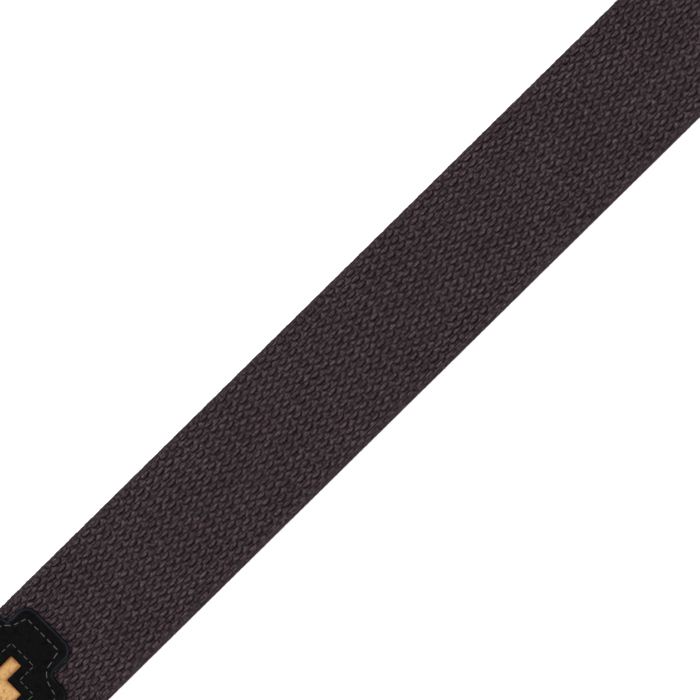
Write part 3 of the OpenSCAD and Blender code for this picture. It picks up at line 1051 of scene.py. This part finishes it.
def sweep(name, line, up, radius, closed=True):
    """A round wire along a line in a plane, up square to the plane."""
    line = np.asarray(line, float)
    if closed:
        ahead = np.roll(line, -1, axis=0) - np.roll(line, 1, axis=0)
    else:
        ahead = np.gradient(line, axis=0)
    ahead /= np.linalg.norm(ahead, axis=1, keepdims=True)
    side = np.cross(ahead, up)
    turns = full_turn(24)
    radius = np.broadcast_to(radius, len(line))
    rings = (line[:, None] + (radius[:, None] * np.cos(turns))[..., None] * side[:, None]
             + (radius[:, None] * np.sin(turns))[..., None] * up)
    if closed:
        rings = np.concatenate([rings, rings[:1]])
    faces = grid_faces(len(rings), len(turns))
    points = rings.reshape(-1, 3)
    if closed:
        count = len(line) * len(turns)
        return make_mesh(name, points[:count], [faces % count], plated_wire)
    cap = np.arange(len(turns))
    caps = np.stack([cap[::-1], len(points) - len(turns) + cap])
    return make_mesh(name, points, [faces, caps], plated_wire)


def wire_frame(name, middle, half_x, half_y, radius, tilt):
    """Wire bent to a rectangle, its ends butt-welded in the middle of one long side."""
    corner = 4.0
    bend = np.linspace(0, np.pi / 2, 13)
    outline = []
    for quarter, (sx, sy) in enumerate(((1, 1), (-1, 1), (-1, -1), (1, -1))):
        a = bend + quarter * np.pi / 2
        x = sx * (half_x - corner) + corner * np.cos(a)
        y = sy * (half_y - corner) + corner * np.sin(a)
        outline += list(zip(x, y))
    flat = spaced(outline, 0.8)
    weld = hump(flat[:, 1], 0.9) * (flat[:, 0] < 0)
    seam = hump(flat[:, 1], 0.25) * (flat[:, 0] < 0)
    ahead = np.array([math.cos(tilt), 0, -math.sin(tilt)])
    up = np.array([math.sin(tilt), 0, math.cos(tilt)])
    line = np.array(middle) + np.outer(flat[:, 0], ahead) + np.outer(flat[:, 1], (0, 1, 0))
    return sweep(name, line, up, radius + 0.05 * weld - 0.06 * seam)


def hardware():
    """The ring and the slider's frame with its middle bar."""
    middle = ((ring_low[0] + ring_high[0]) / 2, 0, ring_z)
    half_x = (ring_high[0] - ring_low[0]) / 2 - ring_wire_r
    ring = wire_frame("ring_wire", middle, half_x, ring_high[1] - ring_wire_r, ring_wire_r, 0.0)
    settle(ring, "ring", "ring")
    rise = far_bar_z - mid_bar_z
    tilt = math.atan2(rise, slider_pitch)
    middle = (mid_bar_x, 0, mid_bar_z)
    half_y = glide_high[1] - slider_wire_r
    glide = wire_frame("slider_frame", middle, math.hypot(rise, slider_pitch), half_y, slider_wire_r, tilt)
    up = np.array([math.sin(tilt), 0, math.cos(tilt)])
    y = np.linspace(-half_y, half_y, 67)
    line = np.c_[0 * y + mid_bar_x, y, 0 * y + mid_bar_z]
    flare = 1.3 + 0.25 * smooth(half_y - 2.6, half_y - 0.9, np.abs(y))
    bar = sweep("slider_middle_bar", line, up, flare, closed=False)
    for piece in (glide, bar):
        settle(piece, "tri_glide", "slider")


# ---- Stage, light and camera ----

FLOOR_HALF = 4000.0
FLOOR_Z = -0.05
FLOOR_GLOW = 0.6  # keeps the floor white
WORLD_LIGHT = 0.62
SEEN = 0.2497  # width of what the camera sees, in metres
SEEN_FROM_PATCH = 0.145  # from the patch's fold end to the middle of the picture
SEEN_Y = 0.00322  # from the strap's middle line to it
STRAP_ANGLE = math.radians(44.56)


def stage():
    """A plain white floor under plain soft light."""
    look = Look(
        "white_floor", Roughness=0.9, Specular_IOR_Level=0.1,
        Base_Color=grey(0.92), Emission_Color=grey(1.0), Emission_Strength=FLOOR_GLOW,
    )
    corners = [(x * FLOOR_HALF, y * FLOOR_HALF, FLOOR_Z) for x, y in ((-1, -1), (1, -1), (1, 1), (-1, 1))]
    floor = make_mesh("floor", corners, [[(0, 1, 2, 3)]], look.material)
    world = bpy.data.worlds.new("studio")
    world.use_nodes = True
    background = world.node_tree.nodes["Background"]
    background.inputs["Color"].default_value = grey(1.0)
    background.inputs["Strength"].default_value = WORLD_LIGHT
    bpy.context.scene.world = world


def soft_light(name, place, aim, size, watts):
    """A round area light, with its place, aim and size in metres."""
    lamp = bpy.data.lights.new(name, "AREA")
    lamp.shape = "DISK"
    lamp.size = size
    lamp.energy = watts
    obj = bpy.data.objects.new(name, lamp)
    obj.location = place
    obj.rotation_mode = "QUATERNION"
    obj.rotation_quaternion = (Vector(aim) - Vector(place)).to_track_quat("-Z", "Y")
    obj.visible_camera = False
    bpy.context.scene.collection.objects.link(obj)


def camera():
    """Straight down on the upper run beside the patch, with a long lens."""
    lens = bpy.data.cameras.new("camera")
    lens.lens = 200.0
    lens.sensor_width = 36.0
    away = SEEN / 2 / (lens.sensor_width / 2 / lens.lens)
    obj = bpy.data.objects.new("camera", lens)
    obj.location = (patch_high[0] * MM + SEEN_FROM_PATCH, SEEN_Y, upper_high[2] * MM + away)
    obj.rotation_euler = (0, 0, -STRAP_ANGLE)
    lens.clip_end = 20.0
    bpy.context.scene.collection.objects.link(obj)
    bpy.context.scene.camera = obj
    return obj.location.copy()


def lights(seen_from):
    """One broad key from the strap's +Y side, and a weaker fill from the other."""
    aim = (seen_from.x, 0, 0)
    soft_light("key", (seen_from.x - 0.15, 0.9, 1.35), aim, 1.1, 17.0)
    soft_light("fill", (seen_from.x + 0.5, -0.9, 1.1), aim, 1.4, 5.0)


stage()
lights(camera())
bpy.context.scene.view_settings.view_transform = "Standard"
webbing()
patch()
tab("front", "upper_strap", front_high[0], front_low[2])
tab("rear", "tail", rear_high[0], rear_low[2])
flap_stitches()
hardware()
